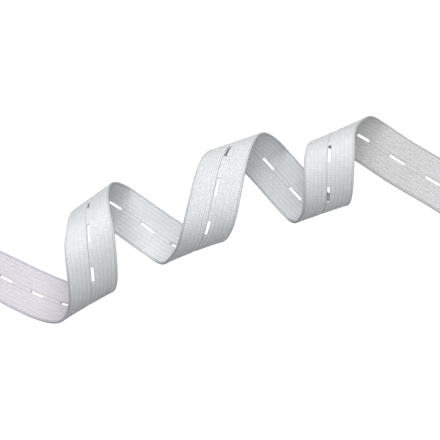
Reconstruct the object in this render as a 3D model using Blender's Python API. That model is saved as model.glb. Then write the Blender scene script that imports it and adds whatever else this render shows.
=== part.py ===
"""A curled length of white buttonhole elastic: one flat knitted strip that lies on a surface in three
open loops, with lengthwise ribs on both faces and a row of slits along its middle.

The strip is made flat, as a sheet that is one cell wide for each rib and groove, and is then laid along
its route. Lengths are in millimetres until a point is placed, and Blender's units are metres.
"""

import bmesh
import bpy
import numpy as np

MM = 0.001

# The strip as it is sold.
STRIP_WIDTH = 20.4
STRIP_THICKNESS = 1.3
RIB_COUNT = 11
GROOVE_WIDTH = 0.6
GROOVE_DEPTH = 0.2
SLIT_PITCH = 17.7
SLIT_LENGTH = 7.2
FIRST_SLIT_CENTRE = 8.8

RIB_PITCH = STRIP_WIDTH / RIB_COUNT
RIB_CREST_WIDTH = RIB_PITCH - GROOVE_WIDTH
HALF_THICKNESS = STRIP_THICKNESS / 2
MIDDLE_RIB = RIB_COUNT // 2

# The route of the strip's middle line, from the left end to the right end. x and y are across the
# surface, and z is the height above it. heading is the direction across the strip, in degrees from +X
# towards +Y, before it is squared up to the route. A row below the surface marks a stretch that the
# surface presses flat.
ROUTE_COLUMNS = ("place", "x", "y", "z", "heading")
ROUTE = (
    ("left end", -117.0, -14.5, -2.4, 60),
    ("left tail", -93.5, -25.0, 3.0, 58),
    ("rise to loop 1", -69.5, -34.5, 12.5, 33),
    ("near side of loop 1", -50.8, -35.7, 27.0, 30),
    ("front of loop 1", -45.8, -23.0, 42.0, 34),
    ("top of loop 1", -46.5, -6.5, 46.5, 36),
    ("far side of loop 1", -49.5, 5.7, 32.0, 35),
    ("landing of loop 1", -46.0, 7.8, 3.0, 43),
    ("floor under loop 1", -32.0, -2.0, -1.8, 55),
    ("near side of loop 2", -7.2, -13.3, 20.5, 20),
    ("front of loop 2", -0.3, -5.0, 34.5, 16),
    ("top of loop 2", 3.8, 11.5, 37.5, 17),
    ("far side of loop 2", 9.5, 30.5, 24.0, 18),
    ("landing of loop 2", 20.5, 26.5, 3.0, 31),
    ("floor under loop 2", 32.5, 13.0, -2.4, 45),
    ("near side of loop 3", 45.5, 2.5, 13.0, 19),
    ("front of loop 3", 48.2, 10.5, 26.0, 20),
    ("top of loop 3", 48.7, 25.8, 29.5, 22),
    ("far side of loop 3", 51.5, 35.5, 18.5, 23),
    ("landing of loop 3", 62.5, 35.3, 4.0, 40),
    ("start of right tail", 77.0, 26.0, -1.8, 55),
    ("right tail", 95.5, 14.5, -1.8, 56),
    ("right end", 115.0, 1.3, -1.8, 57),
)

# The floor takes over from the free route within this height above and below its own level.
FLOOR_BLEND = 1.8

# A stretch this close to the floor's level counts as lying flat.
FLAT_WITHIN = 0.001

# The strip bends without stretching, so where it twists as it bends, it also curls across its width. A
# bend gentler than this, in radians per millimetre, brings hardly any curl with it.
LEAST_BEND = 0.015

# How finely the route is read, and how far one step of the mesh may turn and reach.
ROUTE_SAMPLES = 6000
MOST_TURN_DEG = 30
MOST_STEP = 10.5

ELASTIC_WHITE = (0.86, 0.86, 0.87, 1.0)
ELASTIC_ROUGHNESS = 0.85


def route_column(name):
    column = ROUTE_COLUMNS.index(name)
    return np.array([row[column] for row in ROUTE], float)


def smooth_curve(knots, values, places):
    """A natural cubic spline through values at knots, read at places."""
    gaps = np.diff(knots)
    slopes = np.diff(values, axis=0) / gaps[:, None]
    system = np.eye(len(knots))
    right_side = np.zeros_like(values)
    for i in range(1, len(knots) - 1):
        system[i, i - 1 : i + 2] = gaps[i - 1], 2 * (gaps[i - 1] + gaps[i]), gaps[i]
        right_side[i] = 6 * (slopes[i] - slopes[i - 1])
    bends = np.linalg.solve(system, right_side)
    i = np.clip(np.searchsorted(knots, places, side="right") - 1, 0, len(gaps) - 1)
    gap = gaps[i][:, None]
    before = (knots[i + 1] - places)[:, None] / gap
    after = 1 - before
    bend = ((before**3 - before) * bends[i] + (after**3 - after) * bends[i + 1]) * gap**2 / 6
    return before * values[i] + after * values[i + 1] + bend


def pressed_flat(height):
    """The height of the middle line once the floor holds it up, with a short soft change between."""
    above = height - HALF_THICKNESS
    blended = (above + FLOOR_BLEND) ** 2 / (4 * FLOOR_BLEND)
    above = np.where(above > FLOOR_BLEND, above, np.where(above < -FLOOR_BLEND, 0, blended))
    return HALF_THICKNESS + above


def unit(vectors):
    return vectors / np.linalg.norm(vectors, axis=1)[:, None]


def read_route():
    """Points along the middle line, with the length up to each and the three directions of the strip."""
    rows = np.column_stack([route_column(name) for name in ("x", "y", "z", "heading")])
    knots = np.append(0, np.cumsum(np.linalg.norm(np.diff(rows[:, :3], axis=0), axis=1)))
    read = smooth_curve(knots, rows, np.linspace(0, knots[-1], ROUTE_SAMPLES))
    middle = read[:, :3]
    middle[:, 2] = pressed_flat(middle[:, 2])
    length = np.append(0, np.cumsum(np.linalg.norm(np.diff(middle, axis=0), axis=1)))
    along = unit(np.gradient(middle, length, axis=0))
    heading = np.radians(read[:, 3])
    level = np.column_stack([np.cos(heading), np.sin(heading), np.zeros(ROUTE_SAMPLES)])
    across = unit(level - np.sum(level * along, axis=1)[:, None] * along)
    inward = np.cross(along, across)
    bend = np.sum(np.gradient(along, length, axis=0) * inward, axis=1)
    twist = np.sum(np.gradient(across, length, axis=0) * inward, axis=1)
    curl = bend * twist**2 / (bend**2 + LEAST_BEND**2)
    reach_down = HALF_THICKNESS * np.abs(inward[:, 2]) + STRIP_WIDTH / 2 * np.abs(across[:, 2])
    middle[:, 2] = np.maximum(middle[:, 2], reach_down)
    return {
        "length": length,
        "middle": middle,
        "along": along,
        "across": across,
        "inward": inward,
        "curl": curl[:, None],
    }


def read_at(route, name, places):
    return np.column_stack([np.interp(places, route["length"], axis) for axis in route[name].T])


def curled(place, rise, curl):
    """Where a point of the flat cross-section goes, across and inward, once the section is an arc."""
    turn = curl * place
    sideways = place * np.sinc(turn / np.pi) - rise * np.sin(turn)
    inwards = place * np.sin(turn / 2) * np.sinc(turn / (2 * np.pi)) + rise * np.cos(turn)
    return sideways, inwards


def slit_centres(strip_length):
    return np.arange(FIRST_SLIT_CENTRE, strip_length - SLIT_LENGTH / 2, SLIT_PITCH)


def steps_along(route):
    """Where the mesh has a row of points: at both ends, at the ends of each slit and of each stretch that
    lies flat, and between them where the strip bends."""
    length = route["length"]
    turned = np.append(0, np.cumsum(np.linalg.norm(np.diff(route["along"], axis=0), axis=1)))
    centres = slit_centres(length[-1])
    flat = route["middle"][:, 2] < HALF_THICKNESS + FLAT_WITHIN
    flat_ends = length[np.flatnonzero(np.diff(flat))]
    slit_ends = np.concatenate([centres - SLIT_LENGTH / 2, centres + SLIT_LENGTH / 2])
    marks = np.sort(np.concatenate([[0], slit_ends, flat_ends, [length[-1]]]))
    steps = [marks[:1]]
    for start, end in zip(marks[:-1], marks[1:]):
        turn = np.degrees(np.interp(end, length, turned) - np.interp(start, length, turned))
        pieces = int(np.ceil(max(turn / MOST_TURN_DEG, (end - start) / MOST_STEP)))
        steps.append(np.linspace(start, end, pieces + 1)[1:])
    return np.concatenate(steps)


def rib_profile():
    """Points across the strip and how far each lies below the face: two on a rib's crest, one in a groove."""
    places = []
    depths = []
    for rib in range(RIB_COUNT):
        centre = (rib - MIDDLE_RIB) * RIB_PITCH
        if rib > 0:
            places.append(centre - RIB_PITCH / 2)
            depths.append(GROOVE_DEPTH)
        places += [centre - RIB_CREST_WIDTH / 2, centre + RIB_CREST_WIDTH / 2]
        depths += [0, 0]
    places[0], places[-1] = -STRIP_WIDTH / 2, STRIP_WIDTH / 2
    return np.array(places), np.array(depths)


def flat_sheet(step_count, profile_count):
    """A sheet of cells, one unit each, with its first corner at the origin."""
    sheet = bmesh.new()
    bmesh.ops.create_grid(sheet, x_segments=step_count - 1, y_segments=profile_count - 1, size=0.5)
    for vert in sheet.verts:
        vert.co.x = round((vert.co.x + 0.5) * (step_count - 1))
        vert.co.y = round((vert.co.y + 0.5) * (profile_count - 1))
    return sheet


def cut_slits(sheet, steps, places):
    """Takes the cells of the middle rib's crest out of the sheet along each slit."""
    centres = slit_centres(steps[-1])
    slit_cells = []
    for face in sheet.faces:
        cell = face.calc_center_median()
        step = int(cell.x)
        middle = (steps[step] + steps[step + 1]) / 2
        beside = int(cell.y)
        on_middle_rib = abs(places[beside] + places[beside + 1]) < GROOVE_WIDTH / 2
        if on_middle_rib and np.min(np.abs(centres - middle)) < SLIT_LENGTH / 2:
            slit_cells.append(face)
    bmesh.ops.delete(sheet, geom=slit_cells, context="FACES")


def give_thickness(sheet):
    """Closes the sheet into a body by extruding it: z is then 0 on the outer face and 1 on the inner one."""
    made = bmesh.ops.extrude_face_region(sheet, geom=list(sheet.faces))
    for item in made["geom"]:
        if isinstance(item, bmesh.types.BMVert):
            item.co.z = 1


def lay_along_route(sheet, route, steps, places, depths):
    """Moves each point of the flat body to its place on the curled strip."""
    middle = read_at(route, "middle", steps)
    across = unit(read_at(route, "across", steps))
    inward = unit(read_at(route, "inward", steps))
    curl = read_at(route, "curl", steps)
    for vert in sheet.verts:
        step, column, side = (round(value) for value in vert.co)
        rise = (2 * side - 1) * (HALF_THICKNESS - depths[column])
        sideways, inwards = curled(places[column], rise, curl[step])
        vert.co = (middle[step] + across[step] * sideways + inward[step] * inwards) * MM


def elastic_material():
    material = bpy.data.materials.new("elastic_white")
    material.use_nodes = True
    shader = material.node_tree.nodes["Principled BSDF"]
    shader.inputs["Base Color"].default_value = ELASTIC_WHITE
    shader.inputs["Roughness"].default_value = ELASTIC_ROUGHNESS
    shader.inputs["Metallic"].default_value = 0.0
    return material


def elastic_strip():
    route = read_route()
    steps = steps_along(route)
    places, depths = rib_profile()
    sheet = flat_sheet(len(steps), len(places))
    cut_slits(sheet, steps, places)
    give_thickness(sheet)
    lay_along_route(sheet, route, steps, places, depths)
    bmesh.ops.recalc_face_normals(sheet, faces=list(sheet.faces))
    mesh = bpy.data.meshes.new("elastic_strip")
    sheet.to_mesh(mesh)
    sheet.free()
    mesh.materials.append(elastic_material())
    return bpy.data.objects.new("elastic_strip", mesh)


def main():
    for old in list(bpy.data.objects):
        bpy.data.objects.remove(old, do_unlink=True)
    collection = bpy.data.collections.new("curled_elastic")
    bpy.context.scene.collection.children.link(collection)
    collection.objects.link(elastic_strip())


main()
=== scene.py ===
from math import cos, pi, radians, sin

import bmesh
import bpy
import numpy as np
from bpy.props import FloatProperty, FloatVectorProperty, IntProperty, PointerProperty
from mathutils import Matrix, Vector


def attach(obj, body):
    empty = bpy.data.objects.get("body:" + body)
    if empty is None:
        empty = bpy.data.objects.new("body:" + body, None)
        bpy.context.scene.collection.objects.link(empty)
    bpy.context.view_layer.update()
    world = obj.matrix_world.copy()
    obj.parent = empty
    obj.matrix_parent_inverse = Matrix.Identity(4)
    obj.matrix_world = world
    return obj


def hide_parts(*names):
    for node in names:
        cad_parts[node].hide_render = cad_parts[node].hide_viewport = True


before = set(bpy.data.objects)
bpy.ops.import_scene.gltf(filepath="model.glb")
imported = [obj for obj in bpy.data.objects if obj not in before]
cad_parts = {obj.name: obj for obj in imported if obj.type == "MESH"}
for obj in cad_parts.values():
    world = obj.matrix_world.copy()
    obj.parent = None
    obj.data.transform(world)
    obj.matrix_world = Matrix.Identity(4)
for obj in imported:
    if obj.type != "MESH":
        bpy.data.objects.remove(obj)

bl_info = {
    "name": "Curled Buttonhole Elastic",
    "version": (1, 0, 0),
    "blender": (4, 5, 0),
    "location": "View3D > Sidebar > Elastic",
    "description": "Knits a curled length of white buttonhole elastic and sets it on its stage",
    "category": "Mesh",
}

MM = 0.001

# The route of the strip's middle line in millimetres, from the left end to the right end. z is the
# height above the floor, and a row below the floor marks a stretch that the floor presses flat.
# heading is the direction across the strip, in degrees from +X towards +Y.
ROUTE_COLUMNS = ("place", "x", "y", "z", "heading")
ROUTE = (
    ("left end", -117.0, -14.5, -2.4, 60),
    ("left tail", -93.5, -25.0, 3.0, 58),
    ("rise to loop 1", -69.5, -34.5, 12.5, 33),
    ("near side of loop 1", -50.8, -35.7, 27.0, 30),
    ("front of loop 1", -45.8, -23.0, 42.0, 34),
    ("top of loop 1", -46.5, -6.5, 46.5, 36),
    ("far side of loop 1", -49.5, 5.7, 32.0, 35),
    ("landing of loop 1", -46.0, 7.8, 3.0, 43),
    ("floor under loop 1", -32.0, -2.0, -1.8, 55),
    ("near side of loop 2", -7.2, -13.3, 20.5, 20),
    ("front of loop 2", -0.3, -5.0, 34.5, 16),
    ("top of loop 2", 3.8, 11.5, 37.5, 17),
    ("far side of loop 2", 9.5, 30.5, 24.0, 18),
    ("landing of loop 2", 20.5, 26.5, 3.0, 31),
    ("floor under loop 2", 32.5, 13.0, -2.4, 45),
    ("near side of loop 3", 45.5, 2.5, 13.0, 19),
    ("front of loop 3", 48.2, 10.5, 26.0, 20),
    ("top of loop 3", 48.7, 25.8, 29.5, 22),
    ("far side of loop 3", 51.5, 35.5, 18.5, 23),
    ("landing of loop 3", 62.5, 35.3, 4.0, 40),
    ("start of right tail", 77.0, 26.0, -1.8, 55),
    ("right tail", 95.5, 14.5, -1.8, 56),
    ("right end", 115.0, 1.3, -1.8, 57),
)
FLOOR_BLEND = 1.8 * MM
ROUTE_SAMPLES = 6000

# The strip bends without stretching, so where it twists as it bends, it also curls across its width. A
# bend gentler than this, in radians per metre, brings hardly any curl with it.
LEAST_BEND = 15.0

# How the ground cloth is divided: the longest cell along it, and where a rounded edge has its lines of
# points, as shares of the rounding's radius.
ROW_SPACING = 0.9 * MM
ROUNDING_STEPS = (0.0, 0.15, 0.5, 1.0)

# Where a rib has its lines of points, as shares of its pitch before the rib's crest, where the groove
# beside the slits has them, as shares of its half width, and how far in from the edge the selvedge
# cord's crest has one.
RIB_STEPS = (0.5, 0.32, 0.0, -0.32)
SLIT_LINE_STEPS = (-1.1, -0.9, 0.9, 1.1)
CORD_CREST = 0.55 * MM

# The ground cloth thins towards its edges: how far in the rounding reaches, and the share of the
# thickness that is left at the edge itself.
SELVEDGE_ROUNDING = 0.4 * MM
SELVEDGE_LEAST = 0.5
SLIT_ROUNDING = 0.28 * MM
SLIT_LEAST = 0.35

# The groove between the selvedge cord and the first rib, the deep one that runs beside the slits, and
# how far from a groove's middle the painted shade on its weft reaches.
CORD_GROOVE_DEPTH = 0.14 * MM
CORD_GROOVE_REACH = 0.16 * MM
SLIT_LINE_DEPTH = 0.3 * MM
GROOVE_SHADE_REACH = 0.12 * MM

# How far the painted shade on the selvedge cord goes on darkening, out from the groove beside it.
CORD_SHADE_REACH = 0.3 * MM

# A knit stitch's leg is a grain with this many sides and rings of faces. It dips into the cloth at one
# end, by LEG_DIP in degrees. The other values say how much one stitch differs from the next: in size
# and brightness as a share, and in place along, across and through the strip.
LEG_SIDES = 5
LEG_RINGS = 3
LEG_DIP = 5
STITCH_SEED = 11
STITCH_SIZE_CHANGE = 0.03
STITCH_TONE_CHANGE = 0.05
STITCH_WANDER = (0.02 * MM, 0.015 * MM, 0.008 * MM)

# A stitch of the middle rib is left out where it lies nearer than this to a slit, as a share of the
# distance from one course to the next.
SLIT_CLEARANCE = 0.4

# A turn of yarn round an edge is a flattened ring, pressed from a round one of radius 1 and thread radius
# RING_THREAD. A thread has a half width along the edge and a half thickness. The inset is how far inside
# the cloth's own edge and face the ring runs, and the lean is in degrees.
WRAP_SEGMENTS = 12
WRAP_SIDES = 4
RING_THREAD = 0.2
SELVEDGE_THREAD = (0.56 * MM, 0.07 * MM)
SELVEDGE_INSET = (0.06 * MM, 0.08 * MM)
SELVEDGE_LEAN = 12
SLIT_THREAD = (0.55 * MM, 0.06 * MM)
SLIT_RING_REACH = 0.16 * MM
SLIT_RING_INSET = 0.1 * MM

# Where the turns round a slit lie: how many each side has, how far they stop short of its ends, how far
# they lie out from its side and from its end, and how far the end's two bars lie from its middle.
SLIT_WRAPS = 7
SLIT_WRAP_MARGIN = 0.35 * MM
SLIT_SIDE_OFFSET = 0.18 * MM
SLIT_END_OFFSET = 0.22 * MM
SLIT_BAR_OFFSET = 0.5 * MM

# Painted light: the yarn's colour changes slowly along the strip, brighter in loop 1 and darker towards
# the right end, where the light falls off. Each row gives a place, its distance along the strip from the
# left end, and the painted colour there.
CAST_COLUMNS = ("place", "along", "colour")
PAINTED_LIGHT_CASTS = (
    ("left tail", 66 * MM, "lavender"),
    ("front of loop 1", 90 * MM, "bright_white"),
    ("floor under loop 1", 195 * MM, "bright_white"),
    ("front of loop 2", 225 * MM, "cool_white"),
    ("far side of loop 3", 385 * MM, "cool_white"),
    ("right tail", 415 * MM, "neutral"),
)

# The lamps hang round a point in the loops. bearing is in degrees from +X towards +Y, elevation in
# degrees above the floor, and power names the setting that holds the lamp's watts.
LAMP_COLUMNS = ("name", "bearing", "elevation", "power")
LAMPS = (
    ("key_light", 90, 40, "key_power"),
    ("side_light", 180, 35, "side_power"),
    ("top_light", 305, 70, "top_power"),
)
LAMP_TARGET = Vector((0, 0, 0.02))
LAMP_DISTANCE = 1.0
LAMP_SIZE = 0.8

# The strip's two faces, and the stitches on each. A leg's length, width and height are in millimetres,
# and so is the distance from the rib's crest to its middle. It leans away from the way along the strip by
# some degrees. The outer face has the shorter and flatter stitches, so its grooves show less.
OUTER, INNER = -1, 1
STITCH_COLUMNS = ("name", "length", "width", "height", "lean", "apart")
STITCHES = {
    OUTER: ("outer_stitches", 1.40, 0.60, 0.31, 15, 0.36),
    INNER: ("inner_stitches", 1.60, 0.60, 0.38, 12, 0.34),
}

# Painted shade in each face's grooves, next to the stitches: how bright the weft there is painted.
GROOVE_COLUMNS = ("between ribs", "beside slits", "beside cord")
GROOVE_PAINTED_SHADES = {
    OUTER: (0.85, 0.58, 0.70),
    INNER: (0.85, 0.70, 0.68),
}


def rows_of(columns, table):
    """A table's rows, each with its values under the names of its columns."""
    return [dict(zip(columns, row)) for row in table]


# ---------------------------------------------------------------- what a user would change


class ElasticSizes(bpy.types.PropertyGroup):
    """The strip's sizes"""

    strip_width: FloatProperty(
        name="Strip width", description="Width from selvedge to selvedge",
        default=20.4 * MM, unit="LENGTH", precision=4,
    )
    strip_thickness: FloatProperty(
        name="Strip thickness", description="Thickness over the stitches of both faces",
        default=1.3 * MM, unit="LENGTH", precision=4,
    )
    rib_count: IntProperty(
        name="Ribs", description="Lengthwise ribs on each face", default=11, min=3,
    )
    groove_depth: FloatProperty(
        name="Groove depth", description="Depth of a groove below the ground cloth's crest",
        default=0.11 * MM, unit="LENGTH", precision=5,
    )
    slit_pitch: FloatProperty(
        name="Slit pitch", description="Distance from one slit's middle to the next one's",
        default=17.7 * MM, unit="LENGTH", precision=4,
    )
    slit_length: FloatProperty(
        name="Slit length", description="Length of each buttonhole slit",
        default=7.2 * MM, unit="LENGTH", precision=4,
    )
    slit_width: FloatProperty(
        name="Slit width", description="Width of each buttonhole slit",
        default=1.25 * MM, unit="LENGTH", precision=5,
    )
    first_slit: FloatProperty(
        name="First slit", description="Distance from the left end to the first slit's middle",
        default=8.8 * MM, unit="LENGTH", precision=4,
    )
    stitches_per_slit: IntProperty(
        name="Stitches per slit pitch", description="Knit courses from one slit to the next",
        default=16, min=4,
    )
    stitch_rise: FloatProperty(
        name="Stitch rise", description="How far the stitches stand above the ground cloth",
        default=0.07 * MM, unit="LENGTH", precision=5,
    )
    selvedge_cord: FloatProperty(
        name="Selvedge cord", description="Width of the cord along each edge",
        default=0.75 * MM, unit="LENGTH", precision=5,
    )
    slit_line: FloatProperty(
        name="Line beside the slits", description="Extra width of the outer face's groove beside them",
        default=0.08 * MM, unit="LENGTH", precision=5,
    )


class ElasticYarn(bpy.types.PropertyGroup):
    """The yarn's colours, with painted light along the strip, and the painted shade at the strip's edges
    and round its slits
    """

    # Painted light along the strip: loop 1 is painted brighter and the right end darker, where the light
    # falls off.
    lavender: FloatVectorProperty(
        name="Lavender", description="Colour of the yarn towards the left end",
        subtype="COLOR", size=4, default=(0.805, 0.78, 0.835, 1.0), min=0, max=1,
    )
    bright_white: FloatVectorProperty(
        name="Bright white", description="Colour of the yarn in loop 1",
        subtype="COLOR", size=4, default=(0.885, 0.91, 0.935, 1.0), min=0, max=1,
    )
    cool_white: FloatVectorProperty(
        name="Cool white", description="Colour of the yarn in loops 2 and 3",
        subtype="COLOR", size=4, default=(0.845, 0.865, 0.885, 1.0), min=0, max=1,
    )
    neutral: FloatVectorProperty(
        name="Neutral", description="Colour of the yarn towards the right end",
        subtype="COLOR", size=4, default=(0.76, 0.76, 0.76, 1.0), min=0, max=1,
    )
    # Painted shade: the selvedges are painted darker at their outer edge, the near one more, as it faces
    # away from the lamps.
    near_edge_painted_shade: FloatProperty(
        name="Near edge tone", description="Brightness of the selvedge nearer the viewer",
        default=0.72, subtype="FACTOR", min=0, max=1,
    )
    far_edge_painted_shade: FloatProperty(
        name="Far edge tone", description="Brightness of the selvedge farther from the viewer",
        default=0.84, subtype="FACTOR", min=0, max=1,
    )
    # Painted shade: the yarn round the slits is painted a little darker.
    slit_edge_painted_shade: FloatProperty(
        name="Slit edge tone", description="Brightness of the yarn round the slits",
        default=0.88, subtype="FACTOR", min=0, max=1,
    )


class StudioSettings(bpy.types.PropertyGroup):
    """The camera, the floor and the light"""

    aim: FloatVectorProperty(
        name="Aim", description="Point on the floor at the middle of the picture",
        subtype="TRANSLATION", size=3, default=(1.0 * MM, 0.5 * MM, 0.0),
    )
    camera_distance: FloatProperty(
        name="Camera distance", description="Distance from the camera to its aim",
        default=0.470, unit="LENGTH",
    )
    lean_right: FloatProperty(
        name="Lean to the right", description="How far the camera leans from straight above, to +X",
        default=radians(6), subtype="ANGLE",
    )
    lean_near: FloatProperty(
        name="Lean towards the viewer", description="How far the camera leans towards -Y",
        default=radians(4), subtype="ANGLE",
    )
    focal_length: FloatProperty(
        name="Focal length", description="In millimetres on a 36 mm sensor", default=88.4,
    )
    floor_colour: FloatVectorProperty(
        name="Floor", description="Colour of the plain floor",
        subtype="COLOR", size=4, default=(0.10, 0.10, 0.10, 1.0), min=0, max=1,
    )
    floor_glow: FloatProperty(
        name="Floor glow", description="Light that the floor gives to the camera", default=1.0,
    )
    key_power: FloatProperty(
        name="Key light", description="Power in watts of the lamp behind the strip", default=7.1,
    )
    side_power: FloatProperty(
        name="Side light", description="Power in watts of the lamp at the left", default=2.0,
    )
    top_power: FloatProperty(
        name="Top light", description="Power in watts of the lamp high above the near side", default=4.9,
    )
    sky_strength: FloatProperty(
        name="Room light", description="Brightness of the even light all round", default=0.19,
    )


# ---------------------------------------------------------------- the strip's route


def route_column(name):
    return np.array([row[name] for row in rows_of(ROUTE_COLUMNS, ROUTE)], float)


def smooth_curve(knots, values, places):
    """A natural cubic spline through values at knots, read at places."""
    gaps = np.diff(knots)
    slopes = np.diff(values, axis=0) / gaps[:, None]
    system = np.eye(len(knots))
    right_side = np.zeros_like(values)
    for i in range(1, len(knots) - 1):
        system[i, i - 1 : i + 2] = gaps[i - 1], 2 * (gaps[i - 1] + gaps[i]), gaps[i]
        right_side[i] = 6 * (slopes[i] - slopes[i - 1])
    bends = np.linalg.solve(system, right_side)
    i = np.clip(np.searchsorted(knots, places, side="right") - 1, 0, len(gaps) - 1)
    gap = gaps[i][:, None]
    before = (knots[i + 1] - places)[:, None] / gap
    after = 1 - before
    bend = ((before**3 - before) * bends[i] + (after**3 - after) * bends[i + 1]) * gap**2 / 6
    return before * values[i] + after * values[i + 1] + bend


def pressed_flat(height, half_thickness):
    """The height of the middle line once the floor holds it up, with a short soft change between."""
    above = height - half_thickness
    blended = (above + FLOOR_BLEND) ** 2 / (4 * FLOOR_BLEND)
    above = np.where(above > FLOOR_BLEND, above, np.where(above < -FLOOR_BLEND, 0, blended))
    return half_thickness + above


def unit(vectors):
    return vectors / np.linalg.norm(vectors, axis=1)[:, None]


def read_route(sizes):
    """Points along the middle line, with the length up to each and the three directions of the strip."""
    half_thickness = sizes.strip_thickness / 2
    rows = np.column_stack([route_column(name) for name in ("x", "y", "z", "heading")])
    rows[:, :3] *= MM
    knots = np.append(0, np.cumsum(np.linalg.norm(np.diff(rows[:, :3], axis=0), axis=1)))
    read = smooth_curve(knots, rows, np.linspace(0, knots[-1], ROUTE_SAMPLES))
    middle = read[:, :3]
    middle[:, 2] = pressed_flat(middle[:, 2], half_thickness)
    length = np.append(0, np.cumsum(np.linalg.norm(np.diff(middle, axis=0), axis=1)))
    along = unit(np.gradient(middle, length, axis=0))
    heading = np.radians(read[:, 3])
    level = np.column_stack([np.cos(heading), np.sin(heading), np.zeros(ROUTE_SAMPLES)])
    across = unit(level - np.sum(level * along, axis=1)[:, None] * along)
    inward = np.cross(along, across)
    bend = np.sum(np.gradient(along, length, axis=0) * inward, axis=1)
    twist = np.sum(np.gradient(across, length, axis=0) * inward, axis=1)
    curl = bend * twist**2 / (bend**2 + LEAST_BEND**2)
    reach_down = half_thickness * np.abs(inward[:, 2]) + sizes.strip_width / 2 * np.abs(across[:, 2])
    middle[:, 2] = np.maximum(middle[:, 2], reach_down)
    return {
        "length": length,
        "middle": middle,
        "across": across,
        "inward": inward,
        "curl": curl[:, None],
    }


def read_at(route, name, places):
    return np.column_stack([np.interp(places, route["length"], axis) for axis in route[name].T])


def curled(place, rise, curl):
    """Where a point of the flat cross-section goes, across and inward, once the section is an arc."""
    turn = curl * place
    sideways = place * np.sinc(turn / pi) - rise * np.sin(turn)
    inwards = place * np.sin(turn / 2) * np.sinc(turn / (2 * pi)) + rise * np.cos(turn)
    return sideways, inwards


def slit_centres(sizes, strip_length):
    last = strip_length - sizes.slit_length / 2
    return np.arange(sizes.first_slit, last, sizes.slit_pitch)


# ---------------------------------------------------------------- working on a flat piece


def places_of(mesh):
    places = np.empty(len(mesh.vertices) * 3)
    mesh.vertices.foreach_get("co", places)
    return places.reshape(-1, 3)


def set_places(mesh, places):
    mesh.vertices.foreach_set("co", places.astype(np.float32).ravel())
    mesh.update()


def keep_numbers(mesh, name, kind, values):
    """Stores values on the mesh's points, for a material to read."""
    attribute = mesh.attributes.new(name, kind, "POINT")
    field = "vector" if kind == "FLOAT_VECTOR" else "value"
    attribute.data.foreach_set(field, values.astype(np.float32).ravel())


def lay_along_route(piece, route):
    """Bends a flat piece along the strip: its x becomes the way along, y across and z inward."""
    flat = places_of(piece.data)
    keep_numbers(piece.data, "flat_place", "FLOAT_VECTOR", flat / MM)
    middle = read_at(route, "middle", flat[:, 0])
    across = unit(read_at(route, "across", flat[:, 0]))
    inward = unit(read_at(route, "inward", flat[:, 0]))
    curl = read_at(route, "curl", flat[:, 0])
    sideways, inwards = curled(flat[:, 1:2], flat[:, 2:3], curl)
    set_places(piece.data, middle + across * sideways + inward * inwards)


def delete_points(piece, doomed):
    """Takes the points where doomed is true out of a piece, in edit mode."""
    bpy.ops.object.select_all(action="DESELECT")
    piece.select_set(True)
    bpy.context.view_layer.objects.active = piece
    bpy.context.tool_settings.mesh_select_mode = (True, False, False)
    bpy.ops.object.mode_set(mode="EDIT")
    bpy.ops.mesh.select_all(action="DESELECT")
    bpy.ops.object.mode_set(mode="OBJECT")
    piece.data.vertices.foreach_set("select", doomed)
    bpy.ops.object.mode_set(mode="EDIT")
    bpy.ops.mesh.delete(type="VERT")
    bpy.ops.object.mode_set(mode="OBJECT")


def repeat(piece, step, count):
    """Copies a piece's mesh along a step, and applies the copies."""
    array = piece.modifiers.new("Repeat", "ARRAY")
    array.use_relative_offset = False
    array.use_constant_offset = True
    array.constant_offset_displace = step
    array.count = count
    bpy.ops.object.modifier_apply(modifier=array.name)


def named(piece, name):
    piece.name = name
    piece.data.name = name
    return piece


def finish_piece(piece, material):
    piece.data.materials.clear()
    piece.data.materials.append(material)
    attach(piece, "root")


# ---------------------------------------------------------------- the ground cloth


def rib_pitch(sizes):
    return (sizes.strip_width - 2 * sizes.selvedge_cord) / sizes.rib_count


def rounded(distance, radius, least):
    """How much of its full height a rounded edge has at a distance in from it, from least to 1."""
    inside = np.clip(distance / radius, 0, 1)
    return least + (1 - least) * np.sqrt(1 - (1 - inside) ** 2)


def on_slit_line(sizes, across, side):
    """Whether a point lies in the deep groove that runs along one side of the slits, on the outer face."""
    middle = -rib_pitch(sizes) / 2 - sizes.slit_line / 2
    return (side == OUTER) & (np.abs(across - middle) < sizes.slit_line)


def selvedge_painted_shade(sizes, yarn, across):
    """Painted shade on the selvedges: darker towards their outer edge, where they turn away from the light.
    """
    start = sizes.strip_width / 2 - sizes.selvedge_cord
    out = np.clip((np.abs(across) - start) / CORD_SHADE_REACH, 0, 1)
    return 1 - out * (1 - np.where(across < 0, yarn.near_edge_painted_shade, yarn.far_edge_painted_shade))


def ground_painted_shade(sizes, yarn, across, side):
    """Painted shade on the weft, which shows in the grooves between the stitches: darker in the grooves,
    round the slits and at the selvedges.
    """
    cord_groove = np.abs(sizes.strip_width / 2 - sizes.selvedge_cord - np.abs(across))
    middle_rib_groove = np.abs(np.abs(across) - rib_pitch(sizes) / 2)
    beside_slits = {
        OUTER: on_slit_line(sizes, across, side),
        INNER: middle_rib_groove < GROOVE_SHADE_REACH,
    }
    tone = np.empty(len(across))
    for face, values in GROOVE_PAINTED_SHADES.items():
        tones = dict(zip(GROOVE_COLUMNS, values))
        tone[side == face] = tones["between ribs"]
        tone[(side == face) & (cord_groove < GROOVE_SHADE_REACH)] = tones["beside cord"]
        tone[(side == face) & beside_slits[face]] = tones["beside slits"]
    # Painted shade round the slits' edges.
    round_slit = np.abs(across) < sizes.slit_width / 2 + SLIT_ROUNDING * ROUNDING_STEPS[1] / 2
    tone[round_slit] = yarn.slit_edge_painted_shade
    return tone * selvedge_painted_shade(sizes, yarn, across)


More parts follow.
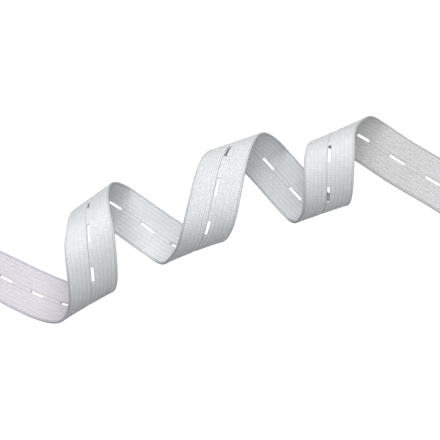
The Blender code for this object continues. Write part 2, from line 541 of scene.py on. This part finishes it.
def ground_height(sizes, centres, along, across, side):
    """How far each face of the ground cloth lies from the strip's middle plane."""
    pitch = rib_pitch(sizes)
    crest = sizes.strip_thickness / 2 - sizes.stitch_rise
    phase = across / pitch - np.round(across / pitch)
    height = crest - sizes.groove_depth * np.abs(2 * phase) ** 2.5
    height -= np.where(on_slit_line(sizes, across, side), SLIT_LINE_DEPTH, 0)
    from_edge = sizes.strip_width / 2 - np.abs(across)
    cord_groove = np.abs(from_edge - sizes.selvedge_cord)
    height -= CORD_GROOVE_DEPTH * np.exp(-((cord_groove / CORD_GROOVE_REACH) ** 2))
    height *= rounded(from_edge, SELVEDGE_ROUNDING, SELVEDGE_LEAST)
    nearest = centres[np.argmin(np.abs(along[:, None] - centres[None, :]), axis=1)]
    past_end = np.maximum(np.abs(along - nearest) - sizes.slit_length / 2, 0)
    past_side = np.maximum(np.abs(across) - sizes.slit_width / 2, 0)
    height *= rounded(np.hypot(past_end, past_side), SLIT_ROUNDING, SLIT_LEAST)
    return height


def across_places(sizes):
    """Where the ground cloth has a line of points, from one selvedge to the other."""
    pitch = rib_pitch(sizes)
    half_width = sizes.strip_width / 2
    slit_side = sizes.slit_width / 2
    right = [0.0] + [slit_side + step * SLIT_ROUNDING for step in ROUNDING_STEPS[:3]]
    for rib in range(1, sizes.rib_count // 2 + 1):
        right += [(rib - step) * pitch for step in RIB_STEPS]
    right += [half_width - sizes.selvedge_cord, half_width - CORD_CREST]
    right += [half_width - step * SELVEDGE_ROUNDING for step in reversed(ROUNDING_STEPS)]
    left = [-place for place in right]
    slit_line = -(pitch + sizes.slit_line) / 2
    left += [slit_line + step * sizes.slit_line for step in SLIT_LINE_STEPS]
    return np.unique(np.round(np.array(left + right) / MM, 4)) * MM


def along_places(sizes, strip_length):
    """Where it has a row of points: close together round each slit's ends, and evenly between."""
    centres = slit_centres(sizes, strip_length)
    marks = [0.0, strip_length]
    for step in ROUNDING_STEPS:
        reach = sizes.slit_length / 2 + step * SLIT_ROUNDING
        marks += list(centres - reach) + list(centres + reach)
    marks = np.unique(np.round(np.clip(marks, 0, strip_length) / MM, 4)) * MM
    rows = [marks[:1]]
    for start, end in zip(marks[:-1], marks[1:]):
        pieces = int(np.ceil((end - start) / ROW_SPACING))
        rows.append(np.linspace(start, end, pieces + 1)[1:])
    return np.concatenate(rows)


def flat_ground(sizes, yarn, strip_length):
    """The ground cloth before it is bent: a grid of cells with its slits cut, given a thickness."""
    along = along_places(sizes, strip_length)
    across = across_places(sizes)
    centres = slit_centres(sizes, strip_length)
    cloth = bmesh.new()
    bmesh.ops.create_grid(cloth, x_segments=len(along) - 1, y_segments=len(across) - 1, size=0.5)
    for vert in cloth.verts:
        vert.co.x = round((vert.co.x + 0.5) * (len(along) - 1))
        vert.co.y = round((vert.co.y + 0.5) * (len(across) - 1))
    slit_cells = []
    for face in cloth.faces:
        cell = face.calc_center_median()
        row, line = int(cell.x), int(cell.y)
        middle = (along[row] + along[row + 1]) / 2
        in_line = abs(across[line] + across[line + 1]) / 2 < sizes.slit_width / 2
        if in_line and np.min(np.abs(centres - middle)) < sizes.slit_length / 2:
            slit_cells.append(face)
    bmesh.ops.delete(cloth, geom=slit_cells, context="FACES")
    made = bmesh.ops.extrude_face_region(cloth, geom=list(cloth.faces))
    for item in made["geom"]:
        if isinstance(item, bmesh.types.BMVert):
            item.co.z = 1
    bmesh.ops.recalc_face_normals(cloth, faces=list(cloth.faces))
    mesh = bpy.data.meshes.new("knit_ground")
    cloth.to_mesh(mesh)
    cloth.free()
    cells = places_of(mesh)
    s = along[np.round(cells[:, 0]).astype(int)]
    v = across[np.round(cells[:, 1]).astype(int)]
    side = 2 * np.round(cells[:, 2]) - 1
    height = ground_height(sizes, centres, s, v, side)
    set_places(mesh, np.column_stack([s, v, side * height]))
    keep_numbers(mesh, "yarn_tone", "FLOAT", ground_painted_shade(sizes, yarn, v, side))
    return mesh


# ---------------------------------------------------------------- materials


def add_node(material, kind, **settings):
    node = material.node_tree.nodes.new(kind)
    for name, value in settings.items():
        setattr(node, name, value)
    return node


def join(material, output, socket):
    material.node_tree.links.new(output, socket)


def painted_light_along_strip(material, yarn, strip_length, place):
    """The yarn's colour at each place along the strip, from the table of casts, which paints light along
    it.
    """
    along = add_node(material, "ShaderNodeSeparateXYZ")
    join(material, place.outputs["Vector"], along.inputs["Vector"])
    share = add_node(material, "ShaderNodeMapRange")
    share.inputs["From Max"].default_value = strip_length / MM
    join(material, along.outputs["X"], share.inputs["Value"])
    ramp = add_node(material, "ShaderNodeValToRGB")
    join(material, share.outputs["Result"], ramp.inputs["Fac"])
    stops = ramp.color_ramp.elements
    while len(stops) < len(PAINTED_LIGHT_CASTS):
        stops.new(1.0)
    for stop, cast in zip(stops, rows_of(CAST_COLUMNS, PAINTED_LIGHT_CASTS)):
        stop.position = cast["along"] / strip_length
        stop.color = getattr(yarn, cast["colour"])
    return ramp.outputs["Color"]


def yarn_material(name, yarn, strip_length, thread_scale, bump_depth, roughness):
    """White yarn: a slow change of cast along the strip, which is painted light, the tone that each point
    keeps, with painted shade in its grooves, round the slits and at the selvedges, and the fine bumps of
    its filaments.
    thread_scale is finest across the way that they run."""
    material = bpy.data.materials.new(name)
    material.use_nodes = True
    shader = material.node_tree.nodes["Principled BSDF"]
    shader.inputs["Roughness"].default_value = roughness
    shader.inputs["Sheen Weight"].default_value = 0.12
    shader.inputs["Sheen Roughness"].default_value = 0.5
    shader.inputs["Specular IOR Level"].default_value = 0.3
    place = add_node(material, "ShaderNodeAttribute", attribute_name="flat_place")
    tone = add_node(material, "ShaderNodeAttribute", attribute_name="yarn_tone")

    filaments = add_node(material, "ShaderNodeTexNoise")
    stretch = add_node(material, "ShaderNodeMapping")
    stretch.inputs["Scale"].default_value = thread_scale
    filaments.inputs["Scale"].default_value = 1.0
    filaments.inputs["Detail"].default_value = 3.0
    join(material, place.outputs["Vector"], stretch.inputs["Vector"])
    join(material, stretch.outputs["Vector"], filaments.inputs["Vector"])

    bump = add_node(material, "ShaderNodeBump")
    bump.inputs["Strength"].default_value = 0.5
    bump.inputs["Distance"].default_value = bump_depth
    join(material, filaments.outputs["Fac"], bump.inputs["Height"])
    join(material, bump.outputs["Normal"], shader.inputs["Normal"])

    clouds = add_node(material, "ShaderNodeTexNoise")
    clouds.inputs["Scale"].default_value = 0.09
    clouds.inputs["Detail"].default_value = 2.0
    join(material, place.outputs["Vector"], clouds.inputs["Vector"])
    cloud_tone = add_node(material, "ShaderNodeMapRange")
    cloud_tone.inputs["To Min"].default_value = 0.97
    cloud_tone.inputs["To Max"].default_value = 1.02
    join(material, clouds.outputs["Fac"], cloud_tone.inputs["Value"])

    both = add_node(material, "ShaderNodeMath", operation="MULTIPLY")
    join(material, cloud_tone.outputs["Result"], both.inputs[0])
    join(material, tone.outputs["Fac"], both.inputs[1])

    coloured = add_node(material, "ShaderNodeVectorMath", operation="SCALE")
    join(material, painted_light_along_strip(material, yarn, strip_length, place), coloured.inputs[0])
    join(material, both.outputs["Value"], coloured.inputs["Scale"])
    join(material, coloured.outputs["Vector"], shader.inputs["Base Color"])
    return material


# ---------------------------------------------------------------- pieces, one operator each


class ELASTIC_OT_ground_cloth(bpy.types.Operator):
    """Make the ribbed ground cloth, with its slits, and bend it along the route"""

    bl_idname = "elastic.ground_cloth"
    bl_label = "Ground cloth"

    def execute(self, context):
        sizes = context.scene.elastic_sizes
        yarn = context.scene.elastic_yarn
        route = read_route(sizes)
        strip_length = float(route["length"][-1])
        mesh = flat_ground(sizes, yarn, strip_length)
        ground = bpy.data.objects.new("knit_ground", mesh)
        context.scene.collection.objects.link(ground)
        lay_along_route(ground, route)
        bpy.ops.object.select_all(action="DESELECT")
        ground.select_set(True)
        context.view_layer.objects.active = ground
        bpy.ops.object.shade_smooth_by_angle(angle=radians(60))
        material = yarn_material(
            "ground_weft", yarn, strip_length,
            thread_scale=(4.0, 1.2, 1.0), bump_depth=0.06 * MM, roughness=0.9,
        )
        finish_piece(ground, material)
        return {"FINISHED"}


def flat_stitch(sizes, side):
    """One knit stitch at the strip's first corner: two legs that lean apart, on one face."""
    form = dict(zip(STITCH_COLUMNS, STITCHES[side]))
    bpy.ops.object.select_all(action="DESELECT")
    bpy.ops.mesh.primitive_uv_sphere_add(segments=LEG_SIDES, ring_count=LEG_RINGS, radius=0.5)
    stitch = bpy.context.object
    bpy.ops.object.mode_set(mode="EDIT")
    bpy.ops.mesh.select_all(action="SELECT")
    bpy.ops.transform.rotate(value=pi / 2, orient_axis="Y", center_override=(0, 0, 0))
    bpy.ops.transform.resize(
        value=(form["length"] * MM, form["width"] * MM, form["height"] * MM),
        center_override=(0, 0, 0),
    )
    bpy.ops.transform.rotate(value=radians(LEG_DIP), orient_axis="Y", center_override=(0, 0, 0))
    bpy.ops.transform.rotate(
        value=radians(form["lean"]), orient_axis="Z", center_override=(0, 0, 0)
    )
    bpy.ops.transform.translate(value=(0, form["apart"] * MM, 0))
    bpy.ops.object.mode_set(mode="OBJECT")
    mirror = stitch.modifiers.new("Other leg", "MIRROR")
    mirror.use_axis = (False, True, False)
    mirror.use_mirror_merge = False
    bpy.ops.object.modifier_apply(modifier=mirror.name)
    places = places_of(stitch.data)
    places[:, 2] += sizes.strip_thickness / 2 - places[:, 2].max()
    if side == OUTER:
        places[:, 1:] *= -1
    set_places(stitch.data, places)
    return stitch


def uneven(places, chance):
    """Stitches that each differ a little in size and place, and the middles that they differ round."""
    middles = places.mean(axis=1, keepdims=True)
    places = (places - middles) * chance.normal(1, STITCH_SIZE_CHANGE, middles.shape)
    wander = chance.normal(0, 1, middles.shape) * np.array(STITCH_WANDER)
    return places + (middles + wander), middles[:, 0]


def stitch_face(sizes, route, side):
    """All the stitches of one face, made flat and then bent along the strip."""
    strip_length = route["length"][-1]
    courses = course_places(sizes, strip_length)
    pitch = courses[1] - courses[0]
    stitch = named(flat_stitch(sizes, side), STITCHES[side][0])
    points_each = len(stitch.data.vertices)
    repeat(stitch, (pitch, 0, 0), len(courses))
    repeat(stitch, (0, rib_pitch(sizes), 0), sizes.rib_count)
    places = places_of(stitch.data).reshape(-1, points_each, 3)
    places += (courses[0], -(sizes.rib_count // 2) * rib_pitch(sizes), 0)
    chance = np.random.default_rng(STITCH_SEED + side)
    places, middles = uneven(places, chance)
    half_thickness = sizes.strip_thickness / 2
    places[..., 2] = np.clip(places[..., 2], -half_thickness, half_thickness)
    tone = 1 + STITCH_TONE_CHANGE * chance.uniform(-1, 1, len(places))
    half_rib = rib_pitch(sizes) / 2
    if side == OUTER:
        places[middles[:, 1] < -half_rib, :, 1] -= sizes.slit_line
    centres = slit_centres(sizes, strip_length)
    to_slit = np.min(np.abs(middles[:, :1] - centres[None, :]), axis=1)
    least = sizes.slit_length / 2 + pitch * SLIT_CLEARANCE
    in_slit = (np.abs(middles[:, 1]) < half_rib) & (to_slit < least)
    set_places(stitch.data, places.reshape(-1, 3))
    keep_numbers(stitch.data, "yarn_tone", "FLOAT", np.repeat(tone, points_each))
    delete_points(stitch, np.repeat(in_slit, points_each))
    lay_along_route(stitch, route)
    bpy.ops.object.shade_smooth()
    return stitch


class ELASTIC_OT_knit_stitches(bpy.types.Operator):
    """Knit the columns of stitches on both faces"""

    bl_idname = "elastic.knit_stitches"
    bl_label = "Knit stitches"

    def execute(self, context):
        sizes = context.scene.elastic_sizes
        yarn = context.scene.elastic_yarn
        route = read_route(sizes)
        material = yarn_material(
            "stitch_yarn", yarn, float(route["length"][-1]),
            thread_scale=(1.2, 9.0, 3.0), bump_depth=0.03 * MM, roughness=0.8,
        )
        for side in (OUTER, INNER):
            finish_piece(stitch_face(sizes, route, side), material)
        return {"FINISHED"}


def flat_wrap(radii, thread):
    """One turn of yarn at the origin, round an edge that runs along x. Its ring has two radii, across and
    through the strip."""
    bpy.ops.object.select_all(action="DESELECT")
    bpy.ops.mesh.primitive_torus_add(
        major_segments=WRAP_SEGMENTS, minor_segments=WRAP_SIDES, major_radius=1,
        minor_radius=RING_THREAD,
    )
    wrap = bpy.context.object
    places = places_of(wrap.data)
    around = np.arctan2(places[:, 1], places[:, 0])
    out = np.hypot(places[:, 0], places[:, 1]) - 1
    along = places[:, 2] / RING_THREAD * thread[0]
    reach = out / RING_THREAD * thread[1]
    set_places(
        wrap.data,
        np.column_stack([
            along,
            (radii[0] + reach) * np.cos(around),
            (radii[1] + reach) * np.sin(around),
        ]),
    )
    return wrap


def join_copies(pattern, name, moves):
    """One piece made of a pattern piece's copies, each put in its place by a matrix."""
    copies = []
    for move in moves:
        copy = bpy.data.objects.new(name, pattern.data.copy())
        bpy.context.scene.collection.objects.link(copy)
        copy.data.transform(move)
        copies.append(copy)
    bpy.data.objects.remove(pattern, do_unlink=True)
    bpy.ops.object.select_all(action="DESELECT")
    for copy in copies:
        copy.select_set(True)
    bpy.context.view_layer.objects.active = copies[0]
    bpy.ops.object.join()
    return named(bpy.context.object, name)


def course_places(sizes, strip_length):
    """Where the knit courses lie along the strip, in step with the slits."""
    pitch = sizes.slit_pitch / sizes.stitches_per_slit
    start = sizes.first_slit - np.floor((sizes.first_slit - pitch / 2) / pitch) * pitch
    return np.arange(start, strip_length - pitch / 2, pitch)


def selvedge_threads(sizes, route):
    """The yarn that turns round the cord at each edge, once a course."""
    strip_length = route["length"][-1]
    courses = course_places(sizes, strip_length)
    half_cord = sizes.selvedge_cord / 2
    across_inset, through_inset = SELVEDGE_INSET
    radii = (half_cord - across_inset, sizes.strip_thickness / 2 - through_inset)
    edge = sizes.strip_width / 2 - half_cord
    moves = []
    for side in (-1, 1):
        lean = Matrix.Rotation(-side * radians(SELVEDGE_LEAN), 4, "Z")
        moves.append(Matrix.Translation((courses[0], side * edge, 0)) @ lean)
    piece = join_copies(flat_wrap(radii, SELVEDGE_THREAD), "selvedge_threads", moves)
    repeat(piece, (courses[1] - courses[0], 0, 0), len(courses))
    return piece


def slit_threads(sizes, route):
    """The yarn that turns back round each slit's sides, and the bars across its ends."""
    strip_length = route["length"][-1]
    centres = slit_centres(sizes, strip_length)
    half_length = sizes.slit_length / 2
    reach = sizes.strip_thickness / 2 - sizes.stitch_rise - SLIT_RING_INSET
    moves = []
    last = half_length - SLIT_WRAP_MARGIN
    for place in np.linspace(-last, last, SLIT_WRAPS):
        for side in (-1, 1):
            across = side * (sizes.slit_width / 2 + SLIT_SIDE_OFFSET)
            moves.append(Matrix.Translation((centres[0] + place, across, 0)))
    quarter = Matrix.Rotation(pi / 2, 4, "Z")
    for end in (-1, 1):
        for side in (-1, 1):
            along = centres[0] + end * (half_length + SLIT_END_OFFSET)
            moves.append(Matrix.Translation((along, side * SLIT_BAR_OFFSET, 0)) @ quarter)
    piece = join_copies(flat_wrap((SLIT_RING_REACH, reach), SLIT_THREAD), "slit_threads", moves)
    repeat(piece, (sizes.slit_pitch, 0, 0), len(centres))
    return piece


class ELASTIC_OT_edge_threads(bpy.types.Operator):
    """Wind the yarn round the selvedges and round the edges of the slits"""

    bl_idname = "elastic.edge_threads"
    bl_label = "Edge threads"

    def execute(self, context):
        sizes = context.scene.elastic_sizes
        yarn = context.scene.elastic_yarn
        route = read_route(sizes)
        material = yarn_material(
            "edge_yarn", yarn, float(route["length"][-1]),
            thread_scale=(9.0, 1.2, 1.2), bump_depth=0.03 * MM, roughness=0.8,
        )
        for piece in (selvedge_threads(sizes, route), slit_threads(sizes, route)):
            across = places_of(piece.data)[:, 1]
            # Painted shade on the yarn round the slits and at the selvedges' outer edges.
            beside_slit = np.abs(across) < rib_pitch(sizes)
            tone = np.where(beside_slit, yarn.slit_edge_painted_shade, selvedge_painted_shade(sizes, yarn, across))
            keep_numbers(piece.data, "yarn_tone", "FLOAT", tone)
            lay_along_route(piece, route)
            bpy.ops.object.shade_smooth()
            finish_piece(piece, material)
        return {"FINISHED"}


class ELASTIC_OT_declare_cloth(bpy.types.Operator):
    """Hide the imported strip, which the knit pieces take the place of"""

    bl_idname = "elastic.declare_cloth"
    bl_label = "Declare the cloth"

    def execute(self, context):
        sizes = context.scene.elastic_sizes
        strip_length = float(read_route(sizes)["length"][-1])
        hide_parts("elastic_strip")
        return {"FINISHED"}


# ---------------------------------------------------------------- stage


def aim_at(thing, place, target):
    """Puts a lamp or camera at a place, looking at a target, with +Y up in its picture."""
    ahead = (Vector(target) - Vector(place)).normalized()
    right = ahead.cross(Vector((0, 1, 0))).normalized()
    up = right.cross(ahead)
    thing.location = place
    thing.rotation_euler = Matrix((right, up, -ahead)).transposed().to_euler()


def floor_material(studio):
    """A pale floor that glows to the camera like a light table, so that it stays white under the strip and
    in its slits, and that throws little light back up on the strip."""
    material = bpy.data.materials.new("pale_floor")
    material.use_nodes = True
    nodes = material.node_tree.nodes
    nodes.remove(nodes["Principled BSDF"])
    plain = add_node(material, "ShaderNodeBsdfDiffuse")
    plain.inputs["Color"].default_value = studio.floor_colour
    glow = add_node(material, "ShaderNodeEmission")
    glow.inputs["Strength"].default_value = studio.floor_glow
    lit = add_node(material, "ShaderNodeAddShader")
    join(material, plain.outputs["BSDF"], lit.inputs[0])
    join(material, glow.outputs["Emission"], lit.inputs[1])
    rays = add_node(material, "ShaderNodeLightPath")
    seen = add_node(material, "ShaderNodeMixShader")
    join(material, rays.outputs["Is Camera Ray"], seen.inputs["Fac"])
    join(material, plain.outputs["BSDF"], seen.inputs[1])
    join(material, lit.outputs["Shader"], seen.inputs[2])
    join(material, seen.outputs["Shader"], nodes["Material Output"].inputs["Surface"])
    return material


def white_room(studio):
    """Even light from all round, behind which the room itself looks as white as the floor."""
    room = bpy.data.worlds.new("white_room")
    room.use_nodes = True
    light = room.node_tree.nodes["Background"]
    light.inputs["Color"].default_value = (1, 1, 1, 1)
    light.inputs["Strength"].default_value = studio.sky_strength
    white = add_node(room, "ShaderNodeBackground")
    white.inputs["Color"].default_value = (1, 1, 1, 1)
    rays = add_node(room, "ShaderNodeLightPath")
    seen = add_node(room, "ShaderNodeMixShader")
    join(room, rays.outputs["Is Camera Ray"], seen.inputs["Fac"])
    join(room, light.outputs["Background"], seen.inputs[1])
    join(room, white.outputs["Background"], seen.inputs[2])
    join(room, seen.outputs["Shader"], room.node_tree.nodes["World Output"].inputs["Surface"])
    return room


class ELASTIC_OT_studio(bpy.types.Operator):
    """Set up the pale floor, the soft light and the camera"""

    bl_idname = "elastic.studio"
    bl_label = "Studio"

    def execute(self, context):
        studio = context.scene.elastic_studio
        self.lay_floor(studio)
        self.hang_lights(context, studio)
        self.place_camera(context, studio)
        context.scene.view_settings.view_transform = "Standard"
        return {"FINISHED"}

    def lay_floor(self, studio):
        bpy.ops.object.select_all(action="DESELECT")
        bpy.ops.mesh.primitive_plane_add(size=6)
        floor = named(bpy.context.object, "pale_floor")
        floor.data.materials.append(floor_material(studio))

    def hang_lights(self, context, studio):
        for row in rows_of(LAMP_COLUMNS, LAMPS):
            bpy.ops.object.light_add(type="AREA")
            lamp = bpy.context.object
            lamp.name = row["name"]
            lamp.data.size = LAMP_SIZE
            lamp.data.energy = getattr(studio, row["power"])
            bearing = radians(row["bearing"])
            elevation = radians(row["elevation"])
            level = cos(elevation)
            towards = Vector((cos(bearing) * level, sin(bearing) * level, sin(elevation)))
            aim_at(lamp, LAMP_TARGET + towards * LAMP_DISTANCE, LAMP_TARGET)
        context.scene.world = white_room(studio)

    def place_camera(self, context, studio):
        right = np.sin(studio.lean_right)
        near = -np.sin(studio.lean_near)
        towards = Vector((right, near, np.sqrt(1 - right**2 - near**2)))
        aim = Vector(studio.aim)
        bpy.ops.object.camera_add()
        camera = bpy.context.object
        camera.name = "photo_camera"
        aim_at(camera, aim + towards * studio.camera_distance, aim)
        camera.data.sensor_width = 36
        camera.data.lens = studio.focal_length
        camera.data.clip_start = 0.01
        context.scene.camera = camera


# ---------------------------------------------------------------- add-on


class ELASTIC_PT_sidebar(bpy.types.Panel):
    """Lists the settings, and the operators in the order that they run in"""

    bl_idname = "ELASTIC_PT_sidebar"
    bl_label = "Buttonhole elastic"
    bl_space_type = "VIEW_3D"
    bl_region_type = "UI"
    bl_category = "Elastic"

    def draw(self, context):
        for settings in (context.scene.elastic_sizes, context.scene.elastic_yarn,
                         context.scene.elastic_studio):
            box = self.layout.box()
            for name in settings.__annotations__:
                box.prop(settings, name)
        for operator in OPERATORS:
            self.layout.operator(operator.bl_idname)


SETTINGS = (
    ("elastic_sizes", ElasticSizes),
    ("elastic_yarn", ElasticYarn),
    ("elastic_studio", StudioSettings),
)
OPERATORS = (
    ELASTIC_OT_ground_cloth,
    ELASTIC_OT_knit_stitches,
    ELASTIC_OT_edge_threads,
    ELASTIC_OT_declare_cloth,
    ELASTIC_OT_studio,
)


def register():
    for name, group in SETTINGS:
        bpy.utils.register_class(group)
        setattr(bpy.types.Scene, name, PointerProperty(type=group))
    for operator in OPERATORS:
        bpy.utils.register_class(operator)
    bpy.utils.register_class(ELASTIC_PT_sidebar)


def unregister():
    bpy.utils.unregister_class(ELASTIC_PT_sidebar)
    for operator in reversed(OPERATORS):
        bpy.utils.unregister_class(operator)
    for name, group in reversed(SETTINGS):
        delattr(bpy.types.Scene, name)
        bpy.utils.unregister_class(group)


def main():
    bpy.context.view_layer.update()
    register()
    bpy.ops.elastic.ground_cloth()
    bpy.ops.elastic.knit_stitches()
    bpy.ops.elastic.edge_threads()
    bpy.ops.elastic.declare_cloth()
    bpy.ops.elastic.studio()


if __name__ == "__main__":
    main()
